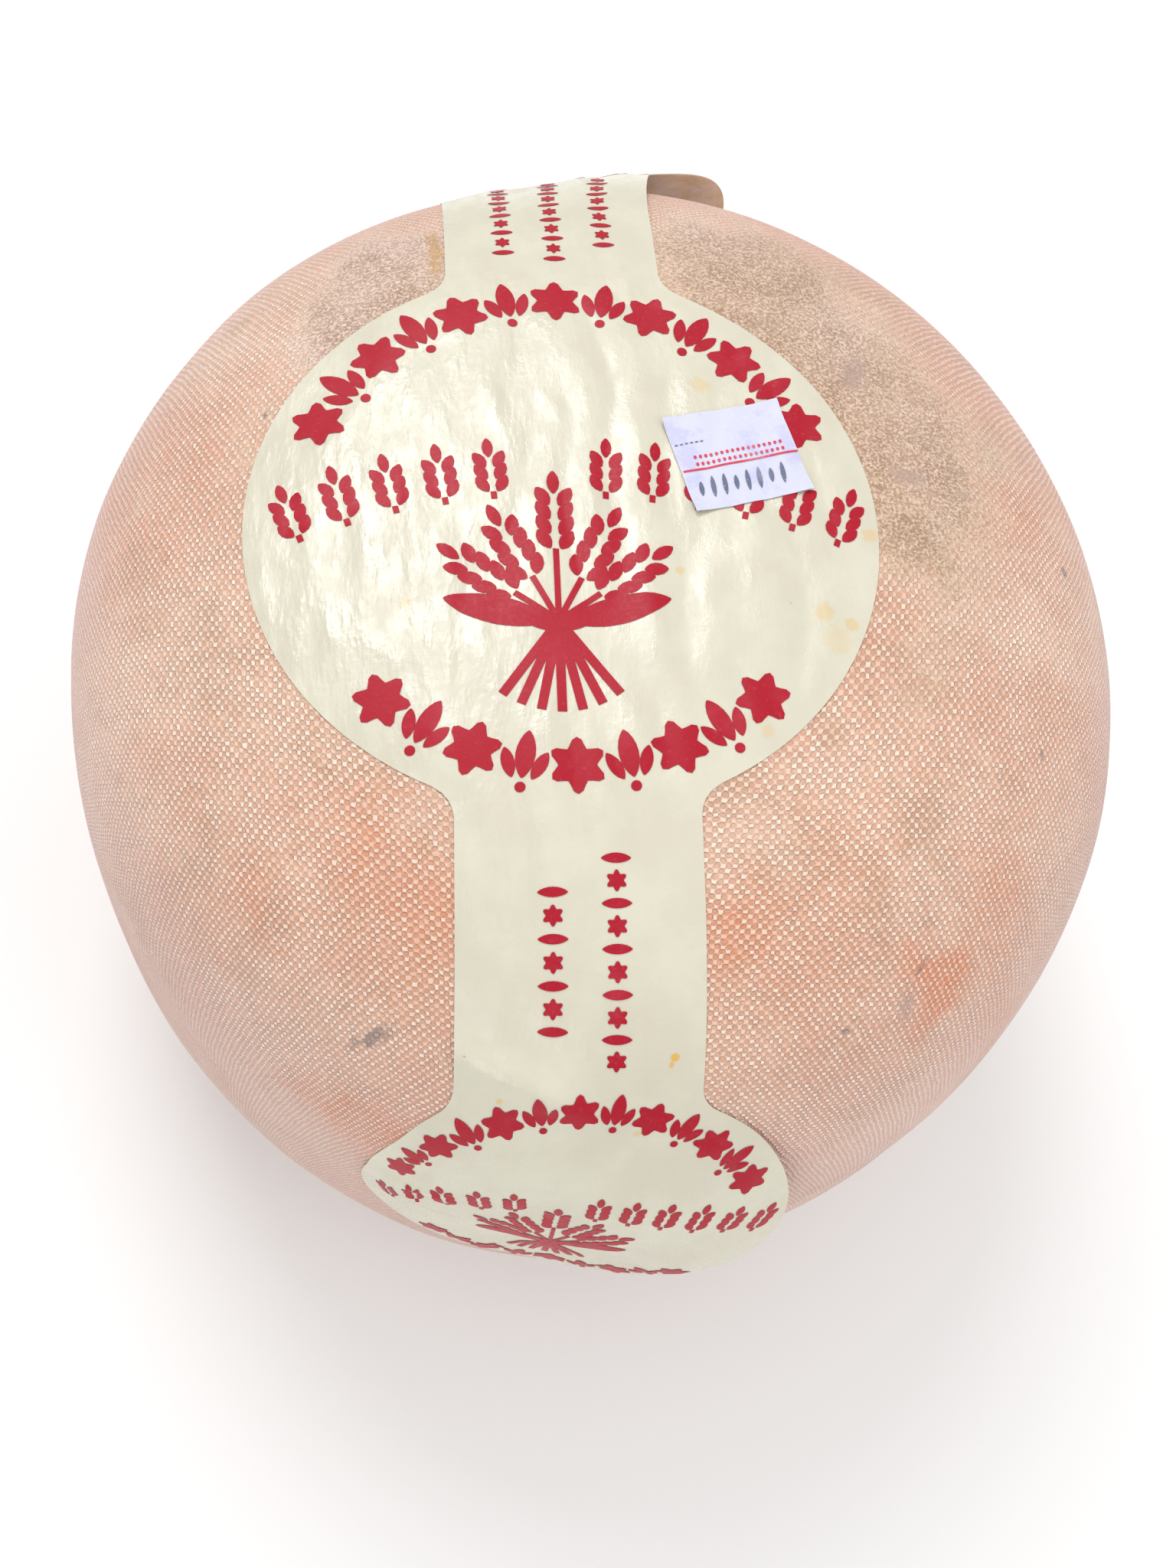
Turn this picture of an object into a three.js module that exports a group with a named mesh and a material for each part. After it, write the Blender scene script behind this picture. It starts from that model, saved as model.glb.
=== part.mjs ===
// Cheese wheel: a ball of cheese flattened at both poles, a die-cut paper band laid over its crown,
// and a small date sticker on the band. Millimetres, +Z up. The origin is the middle of the flat
// face that the wheel rests on, and the band runs along Y, front end at -Y.
import * as THREE from 'three';

// ---- driving dimensions, mm ----
const WHEEL_WIDTH = 194.4;
const WHEEL_LENGTH = 205.6;
const POLE_HEIGHT = 75;
const CROWN_FULLNESS = 3.4;
const BASE_FULLNESS = 2.7;
const FOOT_RADIUS = 30;

const TOP_DISC_RADIUS = 52.1;
const END_DISC_RADIUS = 36;
const STRIP_HALF_WIDTH = 18.8;
const CORNER_RADIUS = 6;
const TOP_DISC_ALONG = 2.5;
const END_DISC_REACH = 128.5;
const BAND_ACROSS = -10.6;

const PAPER_GAP = 0.35;
const PAPER_THICKNESS = 0.4;
const FRONT_RISE = 6.3;
const REAR_RISE = 10;
const FRONT_SLEW_LEFT = 0.22;
const FRONT_SLEW_RIGHT = 0.09;
const FRONT_PUCKER = 3;
const REAR_SLEW = 0.2;
const REAR_DRIFT = 5.8;

const STICKER_WIDTH = 20.8;
const STICKER_HEIGHT = 19;
const STICKER_THICKNESS = 0.3;
const STICKER_TURN = THREE.MathUtils.degToRad(14);
const STICKER_ALONG = 14.7;
const STICKER_ACROSS = 29.2;

// ---- how finely the solids are faceted ----
const WHEEL_SIDES = 64;
const WHEEL_RINGS = 20;
const BAND_ROWS = 96;
const BAND_COLUMNS = 8;
const STICKER_CELLS = 4;
const PATH_STEPS = 400;
const DROP_HALVINGS = 30;
const BAND_TIP_HALF_WIDTH = 1;

const HALF_WIDTH = WHEEL_WIDTH / 2;
const HALF_LENGTH = WHEEL_LENGTH / 2;
const footShare = (FOOT_RADIUS / HALF_WIDTH) ** BASE_FULLNESS;
const FOOT_DEPTH = POLE_HEIGHT * (1 - footShare) ** (1 / BASE_FULLNESS);
const FRONT_END = TOP_DISC_ALONG - END_DISC_REACH;
const REAR_END = TOP_DISC_ALONG + END_DISC_REACH;

const smooth = THREE.MathUtils.smoothstep;

// A point of the half section at an angle above or below the widest level, as [radius, height]
// for a wheel of radius one; height is measured in millimetres from the widest level.
function sectionPoint(angle) {
  const fullness = angle >= 0 ? CROWN_FULLNESS : BASE_FULLNESS;
  const out = Math.cos(angle);
  const up = Math.sin(angle);
  const reach = (Math.abs(out) ** fullness + Math.abs(up) ** fullness) ** (-1 / fullness);
  return [out * reach, POLE_HEIGHT * up * reach];
}

// Below zero inside the cheese and above zero outside it; z is from the widest level.
function outsideBy(x, y, z) {
  const fullness = z >= 0 ? CROWN_FULLNESS : BASE_FULLNESS;
  const share = Math.hypot(x / HALF_WIDTH, y / HALF_LENGTH);
  return share ** fullness + (Math.abs(z) / POLE_HEIGHT) ** fullness - 1;
}

// ---- the cheese: one solid, cut flat where it rests ----
function makeCheese() {
  const footAngle = -Math.atan2(FOOT_DEPTH / POLE_HEIGHT, FOOT_RADIUS / HALF_WIDTH);
  const profile = [new THREE.Vector2(0, -FOOT_DEPTH)];
  for (let i = 0; i < WHEEL_RINGS; i += 1) {
    const [radius, height] = sectionPoint(footAngle * (1 - i / WHEEL_RINGS));
    profile.push(new THREE.Vector2(radius, height));
  }
  for (let i = 0; i < WHEEL_RINGS; i += 1) {
    const [radius, height] = sectionPoint((Math.PI / 2) * (i / WHEEL_RINGS));
    profile.push(new THREE.Vector2(radius, height));
  }
  profile.push(new THREE.Vector2(0, POLE_HEIGHT));
  const geometry = new THREE.LatheGeometry(profile, WHEEL_SIDES);
  geometry.rotateX(Math.PI / 2);
  geometry.scale(HALF_WIDTH, HALF_LENGTH, 1);
  geometry.translate(0, 0, FOOT_DEPTH);
  return geometry;
}

// ---- the band's centre line: over the crown, from pole to pole in the plane x = 0 ----
const centreLine = [];
for (let i = 0; i <= PATH_STEPS; i += 1) {
  const turn = Math.PI * (2 * i / PATH_STEPS - 1);
  const [radius, height] = sectionPoint(Math.PI / 2 - Math.abs(turn));
  centreLine.push({ y: Math.sign(turn) * radius * HALF_LENGTH, z: height, along: 0 });
}
for (let i = 1; i <= PATH_STEPS; i += 1) {
  const step = Math.hypot(centreLine[i].y - centreLine[i - 1].y, centreLine[i].z - centreLine[i - 1].z);
  centreLine[i].along = centreLine[i - 1].along + step;
}
const crownAlong = centreLine[PATH_STEPS / 2].along;

// Where the centre line is, a given distance along it from the top pole, and which way is out.
function onCentreLine(along) {
  const target = along + crownAlong;
  let i = 1;
  while (centreLine[i].along < target) i += 1;
  const [a, b] = [centreLine[i - 1], centreLine[i]];
  const span = b.along - a.along;
  const t = (target - a.along) / span;
  const out = { y: (a.z - b.z) / span, z: (b.y - a.y) / span };
  return { y: a.y + t * (b.y - a.y), z: a.z + t * (b.z - a.z), out };
}

// The place on the wheel of a point of the flat paper, lifted off the cheese by a height.
function drape(along, across, lift) {
  const { y, z, out } = onCentreLine(along);
  const x = BAND_ACROSS + across;
  let near = -POLE_HEIGHT / 10;
  let far = POLE_HEIGHT;
  for (let i = 0; i < DROP_HALVINGS; i += 1) {
    const drop = (near + far) / 2;
    if (outsideBy(x, y - drop * out.y, z - drop * out.z) > 0) near = drop;
    else far = drop;
  }
  const rise = lift - near;
  return new THREE.Vector3(x, y + rise * out.y, z + rise * out.z + FOOT_DEPTH);
}

// ---- the band's outline: three discs on a strip, with rounded inner corners ----
function discHalfWidth(distance, radius) {
  const cornerAlong = Math.sqrt((radius + CORNER_RADIUS) ** 2 - (STRIP_HALF_WIDTH + CORNER_RADIUS) ** 2);
  const touchAlong = cornerAlong * radius / (radius + CORNER_RADIUS);
  if (distance <= touchAlong) return Math.sqrt(radius ** 2 - distance ** 2);
  if (distance >= cornerAlong) return STRIP_HALF_WIDTH;
  const inCorner = Math.sqrt(CORNER_RADIUS ** 2 - (cornerAlong - distance) ** 2);
  return STRIP_HALF_WIDTH + CORNER_RADIUS - inCorner;
}

function bandHalfWidth(along) {
  const beyond = Math.max(FRONT_END - along, along - REAR_END);
  if (beyond > 0) {
    const left = Math.max(END_DISC_RADIUS ** 2 - beyond ** 2, BAND_TIP_HALF_WIDTH ** 2);
    return Math.sqrt(left);
  }
  return Math.max(
    discHalfWidth(Math.abs(along - TOP_DISC_ALONG), TOP_DISC_RADIUS),
    discHalfWidth(-beyond, END_DISC_RADIUS),
  );
}

// How far the paper stands off the cheese: the end discs come unstuck along their right sides.
function paperRise(along, across) {
  const front = FRONT_RISE * smooth(-along, 92, 150) * smooth(across, -8, 32);
  const towardsRight = THREE.MathUtils.clamp((across + 4) / 40, 0, 1);
  const rear = REAR_RISE * smooth(along, 60, 122) * towardsRight ** 1.2;
  return front + rear;
}

// How the paper was pulled as it was pasted: the front disc is turned a little and its left edge
// is puckered in, and the rear disc drifts to the right and turns towards the crown.
function slipAlong(along, across) {
  const slew = across < 0 ? FRONT_SLEW_LEFT : FRONT_SLEW_RIGHT;
  const front = slew * smooth(-along, 86, 106) * across;
  const rear = REAR_SLEW * smooth(along, 80, 116) * Math.max(across, 0);
  return front - rear;
}

function slipAcross(along, across) {
  const pucker = FRONT_PUCKER * smooth(-along, 90, 104) * smooth(-across, 20, 38);
  const drift = REAR_DRIFT * smooth(along, 72, 122) * smooth(across, -STRIP_HALF_WIDTH, STRIP_HALF_WIDTH);
  return pucker + drift;
}

function makeBand() {
  const geometry = new THREE.BoxGeometry(2, 2, 2, BAND_COLUMNS, BAND_ROWS, 1);
  const position = geometry.getAttribute('position');
  const reach = END_DISC_REACH + END_DISC_RADIUS;
  for (let i = 0; i < position.count; i += 1) {
    const along = TOP_DISC_ALONG + reach * Math.sin(position.getY(i) * Math.PI / 2);
    const across = position.getX(i) * bandHalfWidth(along);
    const face = position.getZ(i) > 0 ? PAPER_THICKNESS : 0;
    const point = drape(
      along + slipAlong(along, across),
      across + slipAcross(along, across),
      PAPER_GAP + face + paperRise(along, across),
    );
    position.setXYZ(i, point.x, point.y, point.z);
  }
  return geometry;
}

// ---- the date sticker: a small rectangle, turned a little, on the top disc ----
function makeSticker() {
  const geometry = new THREE.BoxGeometry(
    STICKER_WIDTH, STICKER_HEIGHT, STICKER_THICKNESS, STICKER_CELLS, STICKER_CELLS, 1);
  geometry.rotateZ(STICKER_TURN);
  const position = geometry.getAttribute('position');
  const underside = 2 * PAPER_GAP + PAPER_THICKNESS;
  for (let i = 0; i < position.count; i += 1) {
    const along = STICKER_ALONG + position.getY(i);
    const across = STICKER_ACROSS + position.getX(i);
    const lift = underside + (position.getZ(i) > 0 ? STICKER_THICKNESS : 0);
    const point = drape(along, across, lift);
    position.setXYZ(i, point.x, point.y, point.z);
  }
  return geometry;
}

// ---- the assembly ----
function addPiece(group, name, geometry, color, roughness) {
  const material = new THREE.MeshStandardMaterial({ color, roughness, metalness: 0 });
  const mesh = new THREE.Mesh(geometry, material);
  mesh.name = name;
  group.add(mesh);
}

const cheeseWheel = new THREE.Group();
addPiece(cheeseWheel, 'cheese_wheel', makeCheese(), 0xe4c3b0, 0.75);
addPiece(cheeseWheel, 'label_band', makeBand(), 0xe6e4d2, 0.4);
addPiece(cheeseWheel, 'date_sticker', makeSticker(), 0xe0e0ee, 0.5);

export default cheeseWheel;
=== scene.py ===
"""Builds the cheese wheel: a ball of cheese flattened at both poles, with the imprint of its cloth
in the rind, a die-cut paper band over its crown and a small sticker on the band."""
import bisect
import math

import bpy
from mathutils import Matrix, Vector, noise


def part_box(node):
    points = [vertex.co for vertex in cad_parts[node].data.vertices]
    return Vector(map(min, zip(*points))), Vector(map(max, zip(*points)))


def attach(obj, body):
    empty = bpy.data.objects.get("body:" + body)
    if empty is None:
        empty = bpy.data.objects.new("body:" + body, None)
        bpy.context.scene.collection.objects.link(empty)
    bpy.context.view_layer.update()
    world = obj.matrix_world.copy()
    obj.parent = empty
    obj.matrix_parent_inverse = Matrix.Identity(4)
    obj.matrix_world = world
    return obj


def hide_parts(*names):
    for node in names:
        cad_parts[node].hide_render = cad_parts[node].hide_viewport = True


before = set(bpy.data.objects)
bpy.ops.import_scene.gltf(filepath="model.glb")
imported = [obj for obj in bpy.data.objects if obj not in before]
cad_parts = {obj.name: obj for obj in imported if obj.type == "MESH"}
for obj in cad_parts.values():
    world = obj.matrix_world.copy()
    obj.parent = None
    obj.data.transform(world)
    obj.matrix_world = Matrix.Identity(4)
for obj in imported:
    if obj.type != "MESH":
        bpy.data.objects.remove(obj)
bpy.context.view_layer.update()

bl_info = {
    "name": "Cheese wheel",
    "version": (1, 0, 0),
    "blender": (4, 5, 0),
    "location": "3D Viewport > Sidebar > Cheese",
    "description": "Builds a ball of cheese with a printed paper band",
    "category": "Object",
}

MM = 0.001
WHEEL_LOW, WHEEL_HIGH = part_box("cheese_wheel")
BAND_LOW, BAND_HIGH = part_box("label_band")

# ---- how finely the pieces are divided ----
PATH_STEPS = 1200
DROP_HALVINGS = 22
PROFILE_STEPS = 600
WHEEL_SIDES = 320
WHEEL_RINGS = 200
PAPER_COLUMNS = 90
PAPER_ROWS = 400
STICKER_CELLS = 24
EDGE_ANGLE = 40

# ---- the rind, lengths in millimetres ----
BROAD_SWELL = 42
CLOSE_SWELL = 15
CLOSE_SHARE = 0.35
CALM_HEIGHT = 12
WEAVE_ARC = 95
WEAVE_REACH = 75
WEAVE_GROWTH = 1.3
SEAM_TOP = -8
SEAM_BOTTOM = -17
SEAM_STRAY = 14

# Tones of the rind: azimuth from the front in degrees, distance from the top pole along the
# rind, radius and strength.
WARM_PATCHES = (
    (13, 70, 8, 1.1), (33.5, 91, 5, 1.7), (36, 89.5, 4, 1.2), (31, 64, 9, 0.4), (48, 87, 8, 0.4),
    (-28, 71, 8, 0.7), (-41, 69, 7, 0.6), (-48, 89, 6, 0.7), (-25, 113, 9, 1.3),
    (-91, 82, 8, 0.35), (150, 92, 12, 0.5), (-165, 100, 14, 0.5), (95, 118, 12, 0.5),
    (-130, 112, 13, 0.5), (-152, 69, 4, 0.9), (70, 140, 16, 0.45), (-70, 145, 18, 0.45),
)
BLOOM_PATCHES = (
    (18, 57, 7, 0.6), (22, 86, 6, 0.35), (-37, 60, 9, 0.55), (-50, 76, 10, 0.5),
    (136, 62, 10, 0.7), (112, 60, 8, 0.5), (-81, 74, 10, 0.5), (-95, 98, 9, 0.5),
    (-122, 66, 10, 0.5), (165, 75, 12, 0.6), (-147, 74, 15, 0.9), (-130, 68, 12, 0.6),
    (75, 72, 9, 0.4), (180, 118, 20, 0.5), (45, 128, 14, 0.4), (-40, 135, 14, 0.4),
    (82, 85, 16, 0.8), (58, 100, 13, 0.6), (-70, 100, 13, 0.7), (-30, 100, 12, 0.5),
)
WORN_PATCHES = (
    (136, 50, 11, 0.9), (115, 48, 10, 0.9), (106, 47, 9, 0.8), (150, 56, 14, 1.0),
    (95, 50, 10, 0.8), (125, 64, 15, 0.6), (163, 66, 13, 1.1), (150, 76, 15, 0.5),
    (102, 62, 14, 0.55), (80, 58, 10, 0.4), (-140, 62, 16, 0.5), (-115, 58, 12, 0.45),
    (-147, 74, 14, 0.9), (-132, 66, 12, 0.7), (20, 56, 9, 0.35), (-35, 58, 9, 0.35),
    (-60, 56, 11, 0.35), (-88, 54, 11, 0.4), (60, 56, 10, 0.4), (112, 62, 16, 0.3),
    (-100, 64, 10, 0.3),
)
PATCH_STRAY = 5
PATCH_RAGGED = 13
PATCH_SEED = 11
# Painted shading of the lower rind: a paler, cooler tone that sets in between these two distances from
# the top pole, mottled.
PAINTED_SHADING_TOP = 84
PAINTED_SHADING_BOTTOM = 118
PAINTED_SHADING_MOTTLE = 20
WEAVE_TURN = 50
WEAVE_DRIFT = 1.6
WEAVE_JITTER = 0.75
# Painted shade and highlight of the beads: the first tint darkens the gaps between them, the second
# pales their tops.
GAP_SHADE_TINT = (0.73, 0.54, 0.44)
TOP_HIGHLIGHT_TINT = (0.98, 0.82, 0.69)
BROWN_GRANULES = ((0.40, 0.235, 0.13), (0.82, 0.63, 0.46))
PINK_GRANULES = ((0.54, 0.35, 0.26), (0.88, 0.72, 0.64))
PALE_GRAIN = (0.92, 0.80, 0.70)
GREY_MARK = (0.19, 0.16, 0.15)
BROWN_MARK = (0.46, 0.32, 0.26)
OCHRE_MARK = (0.56, 0.33, 0.10)
# Marks: azimuth, distance from the top pole, length, width, turn in degrees, colour.
SMUDGES = (
    (-29, 94.5, 10.5, 4.2, 56, GREY_MARK), (22, 89.5, 2.2, 1.6, 0, GREY_MARK),
    (33.5, 86.5, 5, 1.2, 20, GREY_MARK), (91, 85.5, 3.4, 2.4, 0, GREY_MARK),
    (64, 81.5, 2, 1.2, 30, GREY_MARK), (-111.5, 68.5, 2.4, 1.4, 10, GREY_MARK),
    (-151.5, 70, 20, 4.2, 62, OCHRE_MARK), (100, 63, 5, 2.5, 40, BROWN_MARK),
    (30, 90.8, 9, 5.0, 70, BROWN_MARK), (128, 56, 12, 6, 120, BROWN_MARK),
    (104, 53, 9, 5, 60, BROWN_MARK),
)

# ---- the band's outline and how it was pasted, millimetres ----
STRIP_HALF_WIDTH = 18.8
CORNER_RADIUS = 6
TOP_DISC_ALONG = 2.5
END_DISC_REACH = 128.5
TIP_HALF_WIDTH = 0.4
PAPER_GAP = 0.08
# Each pair says where a shift of the paper starts and where it is whole.
FRONT_RISE = 6.3
FRONT_RISE_ALONG = (92, 150)
FRONT_RISE_ACROSS = (-8, 32)
REAR_RISE = 10
REAR_RISE_ALONG = (60, 122)
REAR_RISE_START = -4
REAR_RISE_WIDTH = 40
REAR_RISE_BEND = 1.2
FRONT_SLEW_LEFT = 0.22
FRONT_SLEW_RIGHT = 0.09
FRONT_SLEW_ALONG = (86, 106)
REAR_SLEW = 0.2
REAR_SLEW_ALONG = (80, 116)
FRONT_PUCKER = 3
FRONT_PUCKER_ALONG = (90, 104)
FRONT_PUCKER_ACROSS = (20, 38)
REAR_DRIFT = 5.8
REAR_DRIFT_ALONG = (72, 122)

# Creases of the paper: height, half width, then the points it runs through (across, along).
CREASES = (
    (0.42, 2.6, (45, -1), (34, -1), (26, -4), (22, -10), (21, -16), (26, -18), (37, -19)),
    (0.34, 2.4, (10, 2), (11, -6), (12, -13), (14, -21), (18, -31)),
    (0.30, 1.6, (-13, 30), (-11, 23), (-10, 16)),
    (0.30, 1.8, (-3, 30), (-1, 24), (1, 18)),
    (0.26, 1.8, (11, 24), (13, 18), (14, 12)),
    (0.26, 1.6, (-42, 8), (-40, -6), (-38, -20)),
    (0.30, 1.7, (-34, 14), (-33, -2), (-32, -22)),
    (0.26, 1.5, (-26, 16), (-25, 2), (-25, -14)),
    (0.24, 1.5, (-20, 4), (-19, -12), (-20, -30)),
    (0.24, 1.6, (-30, 34), (-34, 24), (-40, 14)),
    (0.28, 1.5, (-15, -46), (-18, -50), (-19, -56)),
    (0.30, 1.4, (15, -44), (18, -50), (20, -56)),
    (1.7, 2.8, (-20, -86), (-10, -90), (2, -96)),
    (0.85, 2.0, (-34, -117), (-27, -121), (-18, -124)),
    (0.90, 2.0, (-34, -119), (-26, -127), (-17, -133)),
    (0.90, 2.2, (-34, -122), (-26, -134), (-18, -142)),
    (0.35, 2.4, (14, -106), (18, -118), (19, -130)),
)
RIPPLE_ACROSS = 9
RIPPLE_ALONG = 26
RIPPLE_HEIGHT = 0.9
RIPPLE_EDGE = 7
CREASE_TAIL = 2.5
CREASE_END = 0.35
# Spots of cheese oil: place across and along, radius, strength.
STAINS = (
    (14.2, -86.5, 1.0, 0.95), (13.7, -87.6, 0.7, 0.8), (41, -15, 2.4, 0.35), (45.5, -17, 1.6, 0.4),
    (43, -20, 3.2, 0.2), (18, -8, 1.1, 0.45), (-26, -14, 1.2, 0.35), (50.5, 0, 1.8, 0.35),
    (24, 29, 2.4, 0.3), (-12, -93.5, 0.8, 0.5), (9, -100, 1.0, 0.4), (30, -36, 1.6, 0.25),
)

# ---- the print, millimetres on the flat paper, drawn for the top disc ----
PRINT_RISE = 0.12
PRINT_THICKNESS = 0.03
ARC_RADIUS = 44.4
UPPER_ARC = (155, 25)
UPPER_MOTIFS = 13
UPPER_SIZE = 10.4
LOWER_ARC = (228, 312)
LOWER_MOTIFS = 9
LOWER_SIZE = 10.0
MIDDLE_ARC_RADIUS = 125
MIDDLE_ARC_HEIGHT = 8.6
MIDDLE_MOTIFS = (-42.5, -35, -27.3, -19.4, -11.6, 6.6, 14.2, 21.8, 29.4, 37, 44.4)
MIDDLE_EAR_DOWN = 5.6
# An ear: length of its stalk, pairs of grains, half length of a grain.
MIDDLE_EAR = (1.4, 3, 1.7)
LEAF_SIDES = 20
BLADE_SIDES = 32
GRAIN_SIDES = 12
FLOWER_SIDES = 36
DOT_SIDES = 12
STEM_CELLS = 12
# A bud, one high: motif, place across and up, lean in degrees, half length and half width.
BUD = (
    ("leaf", 0, 0.11, 0, 0.39, 0.155), ("leaf", -0.245, -0.05, -22, 0.25, 0.105),
    ("leaf", 0.245, -0.05, 22, 0.25, 0.105), ("dot", 0, -0.42, 0, 0.085, 0.085),
)
FLOWER_SHARE = 0.46
# An ear's measures for grains of half length one, and the half width of its stalk.
STALK_HALF_WIDTH = 0.5
FIRST_GRAIN = 0.9
GRAIN_STEP = 1.42
GRAIN_OUT = 0.94
GRAIN_LEAN = 30
GRAIN_SIZE = (1.04, 0.6)
TIP_GRAIN_SIZE = (1.15, 0.55)
# The sheaf, round the middle of its tie. Sizes are half length and half width.
TIE_PLACE = (-2, -20)
TIE_SIZE = (5.4, 1.9)
SHEAF_EARS = ((-54, 8.5), (-27, 8.8), (0, 13), (27, 8.8), (54, 8.5))
SHEAF_ROWS = 4
SHEAF_GRAIN = 1.95
STALK_END_LEANS = (-36, -24, -12, 0, 12, 24, 36)
STALK_END_REACH = 8.2
STALK_END_SIZE = (7.4, 0.75)
BLADE_PLACE = (9.8, 2.0)
BLADE_LEAN = 76
BLADE_SIZE = (8.6, 2.5)
# Thin rows on the strips: place across, first and last place along, spacing, size.
FRONT_ROWS = ((-4.3, -61.5, -82.5, 3.5, 4.6), (5.3, -56.5, -87, 3.4, 4.6))
REAR_ROWS = ((-8.5, 60, 92, 3.2, 4.0), (0.5, 58, 92, 3.2, 4.0), (9.5, 62, 90, 3.2, 4.0))

# ---- the sticker, millimetres ----
STICKER_THICKNESS = 0.12
STICKER_RISE = 0.16
STICKER_ALONG = 14.7
STICKER_ACROSS = 29.2
STICKER_CURL = 0.7
CURL_START = 0.72
RULE_DOWN = 0.58
RULE_ACROSS = 0.15
RULE_HALF_WIDTH = 0.17
RULE_MARGIN = 0.2
RULE_CELLS = 40
# Rows of marks: how many, the first one's place across, and the spacing.
RED_DOTS = (17, -7.2, 0.95)
RED_DOT_ROWS = (1.0, 2.4)
RED_DOT_SIZE = (0.34, 0.26)
LOZENGES = (8, -8, 2.05)
LOZENGE_DOWN = 3.7
LOZENGE_LEAN = 8
LOZENGE_LENGTHS = (1.4, 2.1, 2.1)
LOZENGE_HALF_WIDTH = 0.42
GREY_DOTS = (6, -9.6, 0.9)
GREY_DOTS_UP = 0.2
GREY_DOT_SIZE = (0.12, 0.3)

# ---- the lights: name, place, place aimed at, size in metres, the setting with its power ----
LIGHTS = (
    ("window_light", (-0.20, 0.61, 1.10), (0, 0, 0.1), 0.6, "key_power"),
    ("right_light", (0.95, -0.6, 0.75), (0, 0, 0.08), 1.0, "fill_power"),
    ("front_light", (-0.6, -1.05, 0.7), (0, 0, 0.08), 1.0, "fill_power"),
    ("ceiling_light", (0.1, 0, 1.3), (0, 0, 0.1), 1.2, "ceiling_power"),
)

# ---- the camera: millimetres from the middle of the widest level, and degrees ----
CAMERA_DISTANCE = 341.9
CAMERA_ELEVATION = 63.44
CAMERA_AZIMUTH = 14.7
LOOK_RIGHT = 0.577
LOOK_UP = -1.767
CAMERA_ROLL = 13.45
CAMERA_LENS = 38.67
CAMERA_SENSOR = 36
CAMERA_CLIP = 0.01


def smooth(value, start, end):
    """Eases from 0 at start to 1 at end."""
    share = min(max((value - start) / (end - start), 0), 1)
    return share * share * (3 - 2 * share)


def number_property(name, description, default, **settings):
    return bpy.props.FloatProperty(name=name, description=description, default=default, **settings)


def length_property(name, description, default):
    return number_property(name, description, default, unit="LENGTH", precision=4)


def colour_property(name, description, default):
    return bpy.props.FloatVectorProperty(
        name=name, description=description, default=default, subtype="COLOR", size=3, min=0, max=1)


class WheelSettings(bpy.types.PropertyGroup):
    width: length_property("Width", "Side to side", WHEEL_HIGH.x - WHEEL_LOW.x)
    length: length_property("Length", "Front to back", WHEEL_HIGH.y - WHEEL_LOW.y)
    height: length_property("Height", "From the flat foot to the crown", WHEEL_HIGH.z)
    crown_height: length_property("Crown height", "From the widest level to the crown", 0.075)
    swell: length_property("Swell", "How far the rind wanders from an even curve", 0.0004)
    weave_pitch: length_property("Weave pitch", "Thread to thread in the cloth's imprint", 0.00096)
    weave_depth: length_property("Weave depth", "How deep the cloth's imprint is", 0.00038)
    crown_fullness: number_property("Crown fullness", "How square the upper half is", 3.4)
    base_fullness: number_property("Base fullness", "How square the lower half is", 2.7)
    rind: colour_property("Rind", "The rind where it is plain", (0.78, 0.485, 0.35))
    bloom: colour_property("Bloom", "The pale bloom on the rind", (0.89, 0.69, 0.56))
    tan: colour_property("Tan", "Where the rind is browner", (0.55, 0.36, 0.225))
    warm: colour_property("Warm patches", "Where the rind is rubbed to orange", (0.80, 0.345, 0.18))
    # Painted shading: the paler, cooler colour laid over the lower rind.
    painted_lower_shading: colour_property("Dusk", "The cooler tone of the lower rind", (0.85, 0.63, 0.60))
    pit: colour_property("Pits", "Brown specks where the rind is worn", (0.36, 0.20, 0.115))


class BandSettings(bpy.types.PropertyGroup):
    top_disc_radius: length_property(
        "Top disc radius", "Radius of the disc on the crown", (BAND_HIGH.x - BAND_LOW.x) / 2)
    end_disc_radius: length_property("End disc radius", "Radius of the discs at the ends", 0.036)
    thickness: length_property("Thickness", "Thickness of the paper", 0.00015)
    paper: colour_property("Paper", "The printed side", (0.605, 0.568, 0.45))
    # The underside's colour is lightened as painted light, standing in for light that comes through the
    # thin paper.
    underside_with_painted_light: colour_property("Underside", "The side that lay on the cheese", (0.86, 0.73, 0.64))
    stain: colour_property("Stain", "Spots of cheese oil on the paper", (0.68, 0.40, 0.06))
    ink: colour_property("Ink", "The print on the band", (0.39, 0.003, 0.018))


class StickerSettings(bpy.types.PropertyGroup):
    width: length_property("Width", "Along its lines", 0.0208)
    height: length_property("Height", "From edge to edge", 0.019)
    turn: number_property("Turn", "How far it is turned on the band", math.radians(14), subtype="ANGLE")
    paper: colour_property("Paper", "The sticker's paper", (0.60, 0.61, 0.74))
    rule: colour_property("Rule", "Its printed rule and dots", (0.66, 0.035, 0.075))
    stamp: colour_property("Stamp", "Its stamped marks", (0.13, 0.15, 0.24))


class StageSettings(bpy.types.PropertyGroup):
    floor: colour_property("Floor", "The floor that the cheese stands on", (0.90, 0.90, 0.90))
    floor_size: length_property("Floor size", "Side of the floor", 6.0)
    key_power: number_property("Key light", "Power of the window light in watts", 6.2)
    fill_power: number_property("Fill light", "Power of each side light in watts", 2.8)
    ceiling_power: number_property("Ceiling light", "Power of the light overhead in watts", 1.4)
    sky: number_property("Sky", "Strength of the light from all round", 0.74)


def distances(points):
    """How far each point of a path is from its first point, along the path."""
    walked = [0.0]
    for start, stop in zip(points, points[1:]):
        walked.append(walked[-1] + math.dist(start, stop))
    return walked


def between(walked, points, distance):
    """The place at a distance along a path."""
    i = min(max(bisect.bisect(walked, distance), 1), len(walked) - 1)
    share = (distance - walked[i - 1]) / (walked[i] - walked[i - 1])
    (a0, b0), (a1, b1) = points[i - 1], points[i]
    return a0 + share * (a1 - a0), b0 + share * (b1 - b0)


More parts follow.
